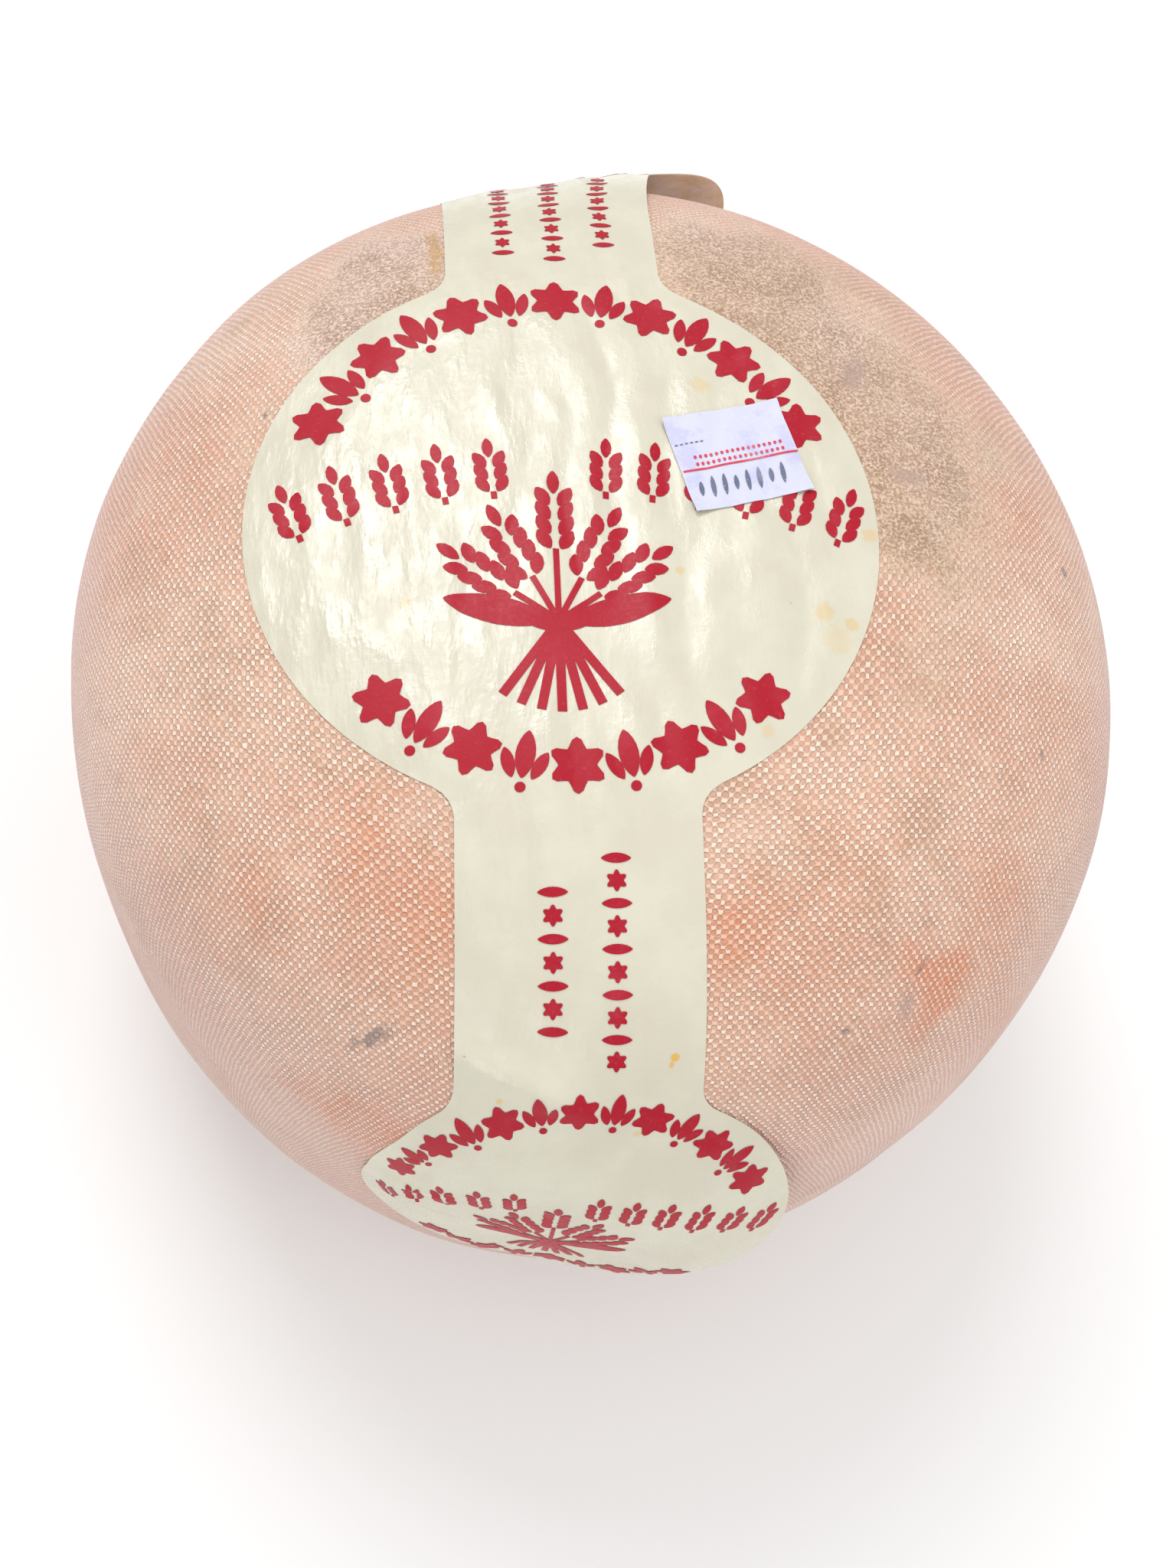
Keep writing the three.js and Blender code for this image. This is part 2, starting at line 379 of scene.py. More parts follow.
class WheelShape:
    """The cheese as a formula, in millimetres, with heights from its widest level."""

    def __init__(self, wheel):
        self.half_width = wheel.width / MM / 2
        self.half_length = wheel.length / MM / 2
        self.pole = wheel.crown_height / MM
        self.foot = wheel.height / MM - self.pole
        self.crown_fullness = wheel.crown_fullness
        self.base_fullness = wheel.base_fullness
        self.swell = wheel.swell / MM
        self.trace_centre_line()
        self.trace_profile()

    def fullness(self, height):
        return self.crown_fullness if height >= 0 else self.base_fullness

    def section_point(self, angle):
        """Radius, for a wheel of radius one, and height of the half section at an angle."""
        fullness = self.fullness(angle)
        out, up = math.cos(angle), math.sin(angle)
        reach = (abs(out) ** fullness + abs(up) ** fullness) ** (-1 / fullness)
        return out * reach, self.pole * up * reach

    def outside_by(self, x, y, z):
        """Below zero inside the cheese and above zero outside it."""
        fullness = self.fullness(z)
        share = math.hypot(x / self.half_width, y / self.half_length)
        return share ** fullness + (abs(z) / self.pole) ** fullness - 1

    def outward(self, x, y, z):
        """The direction straight out of the rind."""
        fullness = self.fullness(z)
        share = max(math.hypot(x / self.half_width, y / self.half_length), 1e-9)
        side = share ** (fullness - 2)
        up = math.copysign((abs(z) / self.pole) ** (fullness - 1) / self.pole, z)
        out = Vector((side * x / self.half_width ** 2, side * y / self.half_length ** 2, up))
        return out.normalized()

    def trace_centre_line(self):
        """Walks over the crown from the bottom pole to the bottom pole, front to back."""
        self.line = []
        for i in range(-PATH_STEPS, PATH_STEPS + 1):
            turn = math.pi * i / PATH_STEPS
            radius, height = self.section_point(math.pi / 2 - abs(turn))
            self.line.append((math.copysign(radius * self.half_length, turn), height))
        walked = distances(self.line)
        self.alongs = [along - walked[PATH_STEPS] for along in walked]

    def trace_profile(self):
        """Walks down one side from the top pole to the middle of the foot."""
        foot_angle = -math.atan2(self.foot / self.pole, self.foot_radius())
        self.profile = []
        for i in range(PROFILE_STEPS + 1):
            angle = math.pi / 2 + (foot_angle - math.pi / 2) * i / PROFILE_STEPS
            self.profile.append(self.section_point(angle))
        self.profile.append((0.0, -self.foot))
        self.arcs = distances([(radius * self.half_length, z) for radius, z in self.profile])

    def foot_radius(self):
        """Radius of the flat foot, for a wheel of radius one."""
        return (1 - (self.foot / self.pole) ** self.base_fullness) ** (1 / self.base_fullness)

    def swell_at(self, x, y, z):
        """How far the rind stands out from the even curve."""
        place = Vector((x, y, z))
        wander = noise.noise(place / BROAD_SWELL) + CLOSE_SHARE * noise.noise(place / CLOSE_SWELL)
        return self.swell * wander * smooth(z + self.foot, 0, CALM_HEIGHT)

    def at(self, azimuth, arc):
        """The place on the even curve at an azimuth, and a distance from the top pole."""
        radius, z = between(self.arcs, self.profile, arc)
        x = radius * self.half_width * math.sin(azimuth)
        y = -radius * self.half_length * math.cos(azimuth)
        return Vector((x, y, z))

    def drape(self, along, x, lift):
        """Where a sheet over the crown lies, when it stands off the cheese by lift."""
        y, z = between(self.alongs, self.line, along)
        out = self.outward(0, y, z)
        near, far = -self.pole / 10, self.pole
        for _ in range(DROP_HALVINGS):
            drop = (near + far) / 2
            if self.outside_by(x, y - drop * out.y, z - drop * out.z) > 0:
                near = drop
            else:
                far = drop
        rest = Vector((x, y - near * out.y, z - near * out.z))
        return rest + out * (lift + self.swell_at(*rest))

    def in_frame(self, place):
        """From millimetres above the widest level to the part's own frame in metres."""
        return Vector((place.x, place.y, place.z + self.foot)) * MM


class BandShape:
    """The band's outline on the flat, and where each point of it lies on the cheese."""

    def __init__(self, band, wheel):
        self.wheel = wheel
        self.top_radius = band.top_disc_radius / MM
        self.end_radius = band.end_disc_radius / MM
        self.thickness = band.thickness / MM
        self.across = (BAND_LOW.x + BAND_HIGH.x) / 2 / MM
        self.reach = END_DISC_REACH + self.end_radius

    def disc_half_width(self, distance, radius):
        """Half width at a distance from a disc's middle, with round corners into the strip."""
        corner = math.sqrt((radius + CORNER_RADIUS) ** 2 - (STRIP_HALF_WIDTH + CORNER_RADIUS) ** 2)
        touch = corner * radius / (radius + CORNER_RADIUS)
        if distance <= touch:
            return math.sqrt(radius ** 2 - distance ** 2)
        if distance >= corner:
            return STRIP_HALF_WIDTH
        in_corner = math.sqrt(CORNER_RADIUS ** 2 - (corner - distance) ** 2)
        return STRIP_HALF_WIDTH + CORNER_RADIUS - in_corner

    def half_width(self, along):
        from_top = abs(along - TOP_DISC_ALONG)
        beyond = from_top - END_DISC_REACH
        if beyond > 0:
            return math.sqrt(max(self.end_radius ** 2 - beyond ** 2, TIP_HALF_WIDTH ** 2))
        return max(
            self.disc_half_width(from_top, self.top_radius),
            self.disc_half_width(-beyond, self.end_radius))

    def rise(self, across, along):
        """How far the paper stands off: the end discs come unstuck along their right sides."""
        front = smooth(-along, *FRONT_RISE_ALONG) * smooth(across, *FRONT_RISE_ACROSS)
        tilt = min(max((across - REAR_RISE_START) / REAR_RISE_WIDTH, 0), 1) ** REAR_RISE_BEND
        return FRONT_RISE * front + REAR_RISE * smooth(along, *REAR_RISE_ALONG) * tilt

    def slip_along(self, across, along):
        """How far the paper is pasted from its even place, along the band."""
        slew = FRONT_SLEW_LEFT if across < 0 else FRONT_SLEW_RIGHT
        front = slew * smooth(-along, *FRONT_SLEW_ALONG) * across
        rear = REAR_SLEW * smooth(along, *REAR_SLEW_ALONG) * max(across, 0)
        return front - rear

    def slip_across(self, across, along):
        """How far the paper is pasted from its even place, across the band."""
        pucker = smooth(-along, *FRONT_PUCKER_ALONG) * smooth(-across, *FRONT_PUCKER_ACROSS)
        drift = smooth(along, *REAR_DRIFT_ALONG) * smooth(across, -STRIP_HALF_WIDTH, STRIP_HALF_WIDTH)
        return FRONT_PUCKER * pucker + REAR_DRIFT * drift

    def creased(self, across, along):
        """Height of the creases and ripples above smooth paper."""
        ripple = noise.noise(Vector((across / RIPPLE_ACROSS, along / RIPPLE_ALONG, 0)))
        height = RIPPLE_HEIGHT * abs(ripple)
        height *= smooth(self.half_width(along) - abs(across), -1, RIPPLE_EDGE)
        point = Vector((across, along))
        for top, half_width, *path in CREASES:
            height += top * nearness(point, path, half_width)
        return height

    def place(self, across, along, lift):
        """Where a point of the flat band lies, in the part's own frame in metres."""
        x = self.across + across + self.slip_across(across, along)
        height = PAPER_GAP + self.rise(across, along) + self.creased(across, along) + lift
        return self.wheel.in_frame(self.wheel.drape(along + self.slip_along(across, along), x, height))


def band_shape(scene):
    return BandShape(scene.cheese_band, WheelShape(scene.cheese_wheel))


def nearness(point, path, reach):
    """One on the path and none beyond its reach, fading towards its two ends."""
    best = 0.0
    for i in range(len(path) - 1):
        start, step = Vector(path[i]), Vector(path[i + 1]) - Vector(path[i])
        share = min(max((point - start).dot(step) / step.length_squared, 0), 1)
        away = (point - start - share * step).length / reach
        if away < CREASE_TAIL:
            through = math.sin(math.pi * (i + share) / (len(path) - 1))
            best = max(best, math.exp(-away * away) * (CREASE_END + (1 - CREASE_END) * through))
    return best


# ---- modelling helpers ----
def start_fresh():
    """Leaves nothing selected and no piece in edit mode."""
    if bpy.context.object and bpy.context.object.mode != "OBJECT":
        bpy.ops.object.mode_set(mode="OBJECT")
    bpy.ops.object.select_all(action="DESELECT")


def name_piece(piece, name):
    piece.name = name
    piece.data.name = name
    return piece


def grid(columns, rows):
    """A flat square of cells from -1 to 1."""
    start_fresh()
    bpy.ops.mesh.primitive_grid_add(x_subdivisions=columns, y_subdivisions=rows, size=2)
    return bpy.context.active_object


def flat_disc(sides, insets):
    """A flat disc of radius one with rings of faces round its middle."""
    start_fresh()
    bpy.ops.mesh.primitive_circle_add(vertices=sides, radius=1, fill_type="TRIFAN")
    bpy.ops.object.mode_set(mode="EDIT")
    for _ in range(insets):
        bpy.ops.mesh.inset(thickness=0.9 / (insets + 1))
    bpy.ops.object.mode_set(mode="OBJECT")
    return bpy.context.active_object


def reshape(piece, move):
    """Moves every vertex of a mesh to move(vertex place)."""
    for vertex in piece.data.vertices:
        vertex.co = move(vertex.co)
    piece.data.update()


def thicken(piece, thickness, inner_slot=0):
    """Gives a sheet its thickness on its inner side."""
    select_only(piece)
    solid = piece.modifiers.new("Thickness", "SOLIDIFY")
    solid.thickness = thickness
    solid.offset = -1
    solid.material_offset = inner_slot
    bpy.ops.object.modifier_apply(modifier=solid.name)


def select_only(piece):
    start_fresh()
    piece.select_set(True)
    bpy.context.view_layer.objects.active = piece


def shade_smooth(piece, angle=None):
    select_only(piece)
    if angle is None:
        bpy.ops.object.shade_smooth()
    else:
        bpy.ops.object.shade_smooth_by_angle(angle=math.radians(angle))


def lay_uv(piece, name, places):
    """A UV map from one (u, v) for each vertex."""
    layer = piece.data.uv_layers.new(name=name)
    for loop in piece.data.loops:
        layer.data[loop.index].uv = places[loop.vertex_index]


def join(pieces, name):
    start_fresh()
    for piece in pieces:
        piece.select_set(True)
    bpy.context.view_layer.objects.active = pieces[0]
    bpy.ops.object.join()
    return name_piece(bpy.context.active_object, name)


def stamp(motif, x, y, turn, length, width):
    """A copy of a flat motif at a place, turned clockwise from upright, in degrees."""
    copy = motif.copy()
    copy.data = motif.data.copy()
    bpy.context.collection.objects.link(copy)
    place = Matrix.Translation((x, y, 0)) @ Matrix.Rotation(-math.radians(turn), 4, "Z")
    copy.data.transform(place @ Matrix.Diagonal((width, length, 1, 1)))
    return copy


def hand_in(piece, slot, *replaced):
    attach(piece, "root")
    if replaced:
        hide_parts(*replaced)


# ---- materials ----
class Finish:
    """One material, and short ways to add its nodes."""

    def __init__(self, name):
        self.material = bpy.data.materials.new(name)
        self.material.use_nodes = True
        self.tree = self.material.node_tree
        self.shader = self.tree.nodes["Principled BSDF"]

    def node(self, kind, **settings):
        made = self.tree.nodes.new(kind)
        for key, value in settings.items():
            setattr(made, key, value)
        return made

    def feed(self, socket, value):
        """Links a socket to another, or sets it to a number or colour."""
        if isinstance(value, bpy.types.NodeSocket):
            self.tree.links.new(value, socket)
        elif hasattr(value, "__len__") and len(value) < len(socket.default_value):
            socket.default_value = (*value, 1)
        else:
            socket.default_value = value

    def object_place(self):
        return self.node("ShaderNodeTexCoord").outputs["Object"]

    def uv_place(self, name):
        return self.node("ShaderNodeUVMap", uv_map=name).outputs["UV"]

    def mapped(self, vector, turn=0, scale=(1, 1, 1)):
        """Scales a vector, then turns it about the Z axis in degrees."""
        made = self.node("ShaderNodeMapping")
        self.feed(made.inputs["Vector"], vector)
        made.inputs["Rotation"].default_value = (0, 0, math.radians(turn))
        made.inputs["Scale"].default_value = scale
        return made.outputs["Vector"]

    def cloud(self, vector, scale, detail=2.0, roughness=0.5, output="Fac"):
        made = self.node("ShaderNodeTexNoise")
        self.feed(made.inputs["Vector"], vector)
        made.inputs["Scale"].default_value = scale
        made.inputs["Detail"].default_value = detail
        made.inputs["Roughness"].default_value = roughness
        return made.outputs[output]

    def ease(self, value, low, high, out_low=0.0, out_high=1.0):
        """Smooth step of a value from low to high."""
        made = self.node("ShaderNodeMapRange", interpolation_type="SMOOTHSTEP")
        names = ("Value", "From Min", "From Max", "To Min", "To Max")
        for name, number in zip(names, (value, low, high, out_low, out_high)):
            self.feed(made.inputs[name], number)
        return made.outputs["Result"]

    def sum(self, operation, first, second=0.0):
        made = self.node("ShaderNodeMath", operation=operation)
        self.feed(made.inputs[0], first)
        self.feed(made.inputs[1], second)
        return made.outputs[0]

    def times(self, first, second):
        return self.sum("MULTIPLY", first, second)

    def total(self, *pairs):
        """Multiplies each pair, and adds up the results."""
        added = self.times(*pairs[0])
        for pair in pairs[1:]:
            added = self.sum("ADD", added, self.times(*pair))
        return added

    def parts(self, vector):
        """The X, Y and Z of a vector."""
        made = self.node("ShaderNodeSeparateXYZ")
        self.feed(made.inputs[0], vector)
        return made.outputs

    def scaled(self, vector, scale):
        made = self.node("ShaderNodeVectorMath", operation="SCALE")
        self.feed(made.inputs[0], vector)
        made.inputs["Scale"].default_value = scale
        return made.outputs["Vector"]

    def vector_sum(self, operation, first, second=(0, 0, 0)):
        made = self.node("ShaderNodeVectorMath", operation=operation)
        self.feed(made.inputs[0], first)
        self.feed(made.inputs[1], second)
        return made.outputs["Value" if operation in ("DISTANCE", "LENGTH") else "Vector"]

    def blend(self, share, first, second, way="MIX"):
        """Mixes two colours."""
        made = self.node("ShaderNodeMix", data_type="RGBA", blend_type=way)
        self.feed(made.inputs[0], share)
        self.feed(made.inputs[6], first)
        self.feed(made.inputs[7], second)
        return made.outputs[2]

    def layered(self, colour, *layers):
        """Lays colours over a first one. Each layer is a share and a colour."""
        for share, over in layers:
            colour = self.blend(share, colour, over)
        return colour

    def bump(self, height, distance):
        made = self.node("ShaderNodeBump")
        self.feed(made.inputs["Height"], height)
        made.inputs["Distance"].default_value = distance
        made.inputs["Strength"].default_value = 1.0
        self.feed(self.shader.inputs["Normal"], made.outputs["Normal"])

    def surface(self, **sockets):
        for name, value in sockets.items():
            self.feed(self.shader.inputs[name.replace("_", " ")], value)


def imprint(finish, name, pitch, wobble):
    """Height of the cloth's imprint: rows of round beads where two threads cross."""
    turned = finish.mapped(finish.uv_place(name), WEAVE_TURN, (1 / pitch,) * 3)
    waves = finish.vector_sum("ADD", turned, wobble)
    axes = finish.parts(waves)
    rows = [finish.sum("COSINE", finish.times(axes[name], 2 * math.pi)) for name in ("X", "Y")]
    crossing = finish.times(finish.sum("ADD", *rows), 0.5)
    bead = finish.vector_sum("FLOOR", finish.vector_sum("ADD", waves, (0.5, 0.5, 0)))
    chance = finish.node("ShaderNodeTexWhiteNoise", noise_dimensions="2D")
    finish.feed(chance.inputs["Vector"], bead)
    fullness = finish.ease(chance.outputs["Value"], 0.0, 1.0, 0.5, 1.0)
    return finish.times(finish.ease(crossing, -0.5, 0.5), fullness)


def rind_beads(finish, place, wheel):
    """The imprints of the upper and lower cloths, with an uneven join between them."""
    drift = finish.scaled(finish.cloud(place, 55, output="Color"), WEAVE_DRIFT)
    jitter = finish.scaled(finish.cloud(place, 620, output="Color"), WEAVE_JITTER)
    wobble = finish.vector_sum("ADD", drift, jitter)
    level = wheel.height - wheel.crown_height
    stray = finish.ease(
        finish.cloud(place, 60, 3, 0.6), 0.25, 0.75, -SEAM_STRAY * MM, SEAM_STRAY * MM)
    seam = finish.sum("ADD", finish.parts(place)["Z"], stray)
    weave = finish.node("ShaderNodeMix", data_type="FLOAT")
    finish.feed(weave.inputs[0], finish.ease(seam, level + SEAM_TOP * MM, level + SEAM_BOTTOM * MM))
    finish.feed(weave.inputs[2], imprint(finish, "weave_crown", wheel.weave_pitch / MM, wobble))
    finish.feed(weave.inputs[3], imprint(finish, "weave_foot", wheel.weave_pitch / MM, wobble))
    return weave.outputs[0]


def rind_finish(wheel, smudges):
    finish = Finish("Cheese rind")
    place = finish.object_place()
    tone = finish.node("ShaderNodeAttribute", attribute_name="rind_tone")
    split = finish.node("ShaderNodeSeparateColor")
    finish.feed(split.inputs[0], tone.outputs["Color"])
    warm, bloom, worn = (split.outputs[i] for i in range(3))
    # Painted shading of the lower rind, carried in the alpha of the tones.
    painted_lower_shading = tone.outputs["Alpha"]
    beads = rind_beads(finish, place, wheel)
    broad = finish.cloud(place, 24, 3, 0.55)
    patchy = finish.cloud(place, 95, 4, 0.6)
    grain = finish.cloud(place, 1500, 3, 0.7)
    flecks = finish.cloud(place, 1900, 3, 0.65)
    rub = finish.ease(finish.sum("ADD", worn, finish.ease(patchy, 0.45, 0.75, 0.0, 0.3)), 0.1, 1.05)
    clear = finish.sum("SUBTRACT", 1.0, finish.times(rub, 0.6))

    brown = finish.ease(finish.cloud(place, 46, 4, 0.65), 0.48, 0.70)
    brown = finish.sum("ADD", brown, finish.times(worn, 0.6))
    brown = finish.times(brown, finish.sum("SUBTRACT", 1.0, finish.times(bloom, 0.7)))
    redder = finish.ease(finish.cloud(place, 38, 3, 0.6), 0.52, 0.74, 0.0, 0.5)
    heat = finish.times(finish.sum("ADD", warm, redder), finish.ease(patchy, 0.2, 0.62, 0.25, 0.85))
    colour = finish.layered(
        finish.blend(finish.ease(broad, 0.35, 0.68), wheel.rind, wheel.bloom),
        (finish.ease(patchy, 0.5, 0.72, 0.0, 0.45), wheel.bloom),
        (finish.times(bloom, finish.ease(patchy, 0.3, 0.6)), wheel.bloom),
        (finish.times(brown, 0.6), wheel.tan),
        (finish.ease(finish.cloud(place, 260, 4, 0.7), 0.50, 0.72, 0.0, 0.45), wheel.tan),
        # Painted shading: the lower rind turns paler and cooler.
        (finish.times(painted_lower_shading, finish.ease(broad, 0.3, 0.7, 0.85, 0.45)), wheel.painted_lower_shading),
        (heat, wheel.warm),
    )
    # Painted shade in the gaps between the beads and painted highlight on their tops: a darker and a
    # paler copy of the rind colour, mixed by the beads' height.
    painted_gap_shade = finish.blend(1.0, colour, GAP_SHADE_TINT, "MULTIPLY")
    painted_top_highlight = finish.blend(0.45, colour, TOP_HIGHLIGHT_TINT)
    flecked = finish.ease(flecks, 0.38, 0.62)
    granular = finish.blend(
        bloom, finish.blend(flecked, *BROWN_GRANULES), finish.blend(flecked, *PINK_GRANULES))
    browned = finish.times(finish.ease(worn, 0.45, 1.0), finish.ease(patchy, 0.36, 0.66, 0.25, 0.8))
    colour = finish.layered(
        colour,
        (finish.times(clear, 0.9), finish.blend(beads, painted_gap_shade, painted_top_highlight)),
        (finish.times(rub, 0.7), granular),
        (finish.times(finish.ease(flecks, 0.66, 0.42), browned), wheel.pit),
        (finish.ease(grain, 0.5, 0.72, 0.0, 0.3), PALE_GRAIN),
        *((smudge_mask(finish, place, *smudge), mark) for mark, *smudge in smudges),
    )
    relief = finish.total((beads, clear), (grain, 0.35), (finish.times(flecks, rub), 1.2))
    finish.bump(relief, wheel.weave_depth)
    finish.surface(
        Base_Color=colour, Roughness=finish.ease(patchy, 0.3, 0.7, 0.5, 0.68), Specular_IOR_Level=0.4,
        Sheen_Weight=0.26, Sheen_Roughness=0.5, Sheen_Tint=(0.95, 0.88, 1.0))
    return finish.material


def smudge_mask(finish, place, centre, turn, length, width):
    """A thin broken mark: one at its middle and none at its edge."""
    made = finish.node("ShaderNodeMapping", vector_type="TEXTURE")
    finish.feed(made.inputs["Vector"], place)
    made.inputs["Location"].default_value = centre
    made.inputs["Rotation"].default_value = turn
    made.inputs["Scale"].default_value = (length / 2, width / 2, length / 2)
    away = finish.vector_sum("LENGTH", made.outputs["Vector"])
    broken = finish.sum("ADD", away, finish.times(finish.cloud(place, 480, 4, 0.75), 2.4))
    return finish.ease(broken, 2.1, 1.45, 0.0, 0.7)


def paper_finish(band):
    """Satin paper, with wrinkles that are stronger towards its left side."""
    finish = Finish("Band paper")
    flat = finish.uv_place("flat")
    left = finish.ease(finish.parts(flat)["X"], 14, -28, 0.3, 1.0)
    streaks = finish.cloud(finish.mapped(flat, -28, (0.30, 0.10, 1)), 1.0, 3)
    folds = finish.cloud(finish.mapped(flat, 12, (0.11, 0.045, 1)), 1.0)
    ridges = finish.sum("SUBTRACT", 1.0, finish.sum("ABSOLUTE", finish.sum("SUBTRACT", folds, 0.5)))
    dimples = finish.cloud(flat, 0.75, 3, 0.6)
    fibres = finish.cloud(finish.mapped(flat, scale=(3.0, 0.9, 1)), 1.0, 3, 0.7)
    mottle = finish.cloud(flat, 0.06, 3, 0.6)
    colour = finish.layered(
        finish.blend(finish.ease(mottle, 0.38, 0.66), band.paper, (0.645, 0.615, 0.49)),
        (finish.ease(dimples, 0.5, 0.75, 0.0, 0.25), (0.60, 0.57, 0.42)),
    )
    for across, along, radius, strength in STAINS:
        away = finish.vector_sum("DISTANCE", flat, (across, along, 0))
        ragged = finish.sum("ADD", away, finish.times(finish.cloud(flat, 0.9, 3, 0.7), radius * 1.3))
        spot = finish.ease(ragged, radius * 1.6, radius * 1.1, 0.0, strength)
        colour = finish.blend(spot, colour, band.stain)
    grey_specks = finish.ease(finish.cloud(flat, 0.55, 1, 0.4), 0.80, 0.84, 0.0, 0.7)
    colour = finish.blend(grey_specks, colour, (0.32, 0.30, 0.27))
    relief = finish.total(
        (streaks, left), (dimples, 0.12), (ridges, finish.times(left, 1.3)), (fibres, 0.05))
    finish.bump(relief, 0.0005)
    satin = finish.total((streaks, 0.6), (finish.cloud(flat, 0.16, 3, 0.6), 0.6))
    roughness = finish.ease(satin, 0.45, 0.72, 0.46, 0.19)
    finish.surface(Base_Color=colour, Roughness=roughness, Specular_IOR_Level=0.75)
    return finish.material


# The underside's pale base is painted light, standing in for light through the paper; its oil stains
# and specks are its own colour.
def stained_backlit_underside_finish(band):
    finish = Finish("Band underside")
    flat = finish.uv_place("flat")
    stained = finish.cloud(flat, 0.09, 4, 0.65)
    fine = finish.cloud(flat, 0.7, 3, 0.7)
    colour = finish.layered(
        finish.blend(finish.ease(stained, 0.35, 0.65), band.underside_with_painted_light, (0.76, 0.56, 0.34)),
        (finish.ease(fine, 0.5, 0.7, 0.0, 0.35), (0.55, 0.40, 0.33)),
    )
    finish.bump(fine, 0.0001)
    finish.surface(Base_Color=colour, Roughness=finish.ease(fine, 0.3, 0.7, 0.5, 0.7))
    return finish.material


def ink_finish(name, colour, pale, worn):
    """Printing ink, with paler worn specks in it."""
    finish = Finish(name)
    place = finish.object_place()
    fine = finish.cloud(place, 1400, 3, 0.7)
    soft = finish.cloud(place, 110, 3, 0.6)
    rubbed = finish.sum(
        "ADD", finish.ease(fine, 0.56, 0.78, 0.0, worn), finish.ease(soft, 0.5, 0.75, 0.0, worn * 0.45))
    finish.surface(
        Base_Color=finish.blend(rubbed, colour, pale), Roughness=finish.ease(fine, 0.3, 0.7, 0.34, 0.5),
        Specular_IOR_Level=0.25)
    finish.bump(fine, 0.00003)
    return finish.material


def sticker_finish(sticker):
    finish = Finish("Sticker paper")
    place = finish.object_place()
    blots = finish.cloud(place, 170, 3, 0.6)
    fibres = finish.cloud(place, 1500, 3, 0.7)
    colour = finish.layered(
        finish.blend(finish.ease(blots, 0.5, 0.66), sticker.paper, (0.52, 0.52, 0.74)),
        (finish.ease(fibres, 0.45, 0.7, 0.0, 0.35), (0.70, 0.71, 0.79)),
    )
    finish.bump(finish.total((blots, 1.5), (fibres, 0.2)), 0.00008)
    finish.surface(Base_Color=colour, Roughness=finish.ease(fibres, 0.3, 0.7, 0.42, 0.6))
    return finish.material


def floor_finish(stage):
    finish = Finish("Studio floor")
    soft = finish.cloud(finish.object_place(), 0.8)
    shade = tuple(0.985 * part for part in stage.floor)
    colour = finish.blend(soft, stage.floor, shade)
    finish.surface(Base_Color=colour, Roughness=0.9, Specular_IOR_Level=0.1)
    return finish.material


# ---- the cheese ----
def weave_place(azimuth, arc):
    """Where a point lies on the flat cloth that the rind was pressed in, in millimetres."""
    reach = WEAVE_REACH * (arc / WEAVE_ARC) ** WEAVE_GROWTH
    return reach * math.sin(azimuth), -reach * math.cos(azimuth)


def patch_strength(place, patches):
    return sum(
        strength * math.exp(-((place - middle).length / radius) ** 2)
        for middle, radius, strength in patches)


def tone_rind(piece, shape, arcs, places):
    """Paints the placed tones: warm, bloom and worn as red, green and blue, and the painted shading of
    the lower rind as alpha.
    """
    located = [
        [(shape.at(math.radians(azimuth), arc), *rest) for azimuth, arc, *rest in patches]
        for patches in (WARM_PATCHES, BLOOM_PATCHES, WORN_PATCHES)
    ]
    noise.seed_set(PATCH_SEED)
    values = []
    for place, arc in zip(places, arcs):
        strayed = place + PATCH_STRAY * noise.turbulence_vector(place / PATCH_RAGGED, 3, False)
        values += [min(patch_strength(strayed, patches), 1) for patches in located]
        mottle = 0.75 + 0.25 * noise.noise(place / PAINTED_SHADING_MOTTLE)
        # Painted shading: grows towards the foot of the rind.
        values.append(smooth(arc, PAINTED_SHADING_TOP, PAINTED_SHADING_BOTTOM) * mottle)
    layer = piece.data.color_attributes.new("rind_tone", "FLOAT_COLOR", "POINT")
    layer.data.foreach_set("color", values)


def located_smudges(shape):
    made = []
    for azimuth, arc, length, width, turn, colour in SMUDGES:
        place = shape.at(math.radians(azimuth), arc)
        out = shape.outward(*place)
        rotation = out.to_track_quat("Z", "Y").to_matrix() @ Matrix.Rotation(math.radians(turn), 3, "Z")
        made.append((colour, shape.in_frame(place), rotation.to_euler(), length * MM, width * MM))
    return made


class CHEESE_OT_wheel(bpy.types.Operator):
    """Add the cheese itself, with its rind"""

    bl_idname = "cheese.wheel"
    bl_label = "Cheese wheel"

    def execute(self, context):
        wheel = context.scene.cheese_wheel
        shape = WheelShape(wheel)
        start_fresh()
        bpy.ops.mesh.primitive_uv_sphere_add(segments=WHEEL_SIDES, ring_count=WHEEL_RINGS, radius=1)
        cheese = name_piece(context.active_object, "cheese_body")
        whole = shape.arcs[-1]
        places, arcs, crown_cloth, foot_cloth = [], [], [], []

        def settle(ball_place):
            azimuth = math.atan2(ball_place.x, -ball_place.y)
            arc = whole * math.acos(max(min(ball_place.z, 1), -1)) / math.pi
            place = shape.at(azimuth, arc)
            places.append(place)
            arcs.append(arc)
            crown_cloth.append(weave_place(azimuth, arc))
            foot_cloth.append(weave_place(azimuth, whole - arc))
            moved = place + shape.outward(*place) * shape.swell_at(*place)
            moved.z = max(moved.z, -shape.foot)
            return shape.in_frame(moved)

        reshape(cheese, settle)
        lay_uv(cheese, "weave_crown", crown_cloth)
        lay_uv(cheese, "weave_foot", foot_cloth)
        tone_rind(cheese, shape, arcs, places)
        cheese.data.materials.append(rind_finish(wheel, located_smudges(shape)))
        shade_smooth(cheese)
        hand_in(cheese, "cheese_rind", "cheese_wheel")
        return {"FINISHED"}


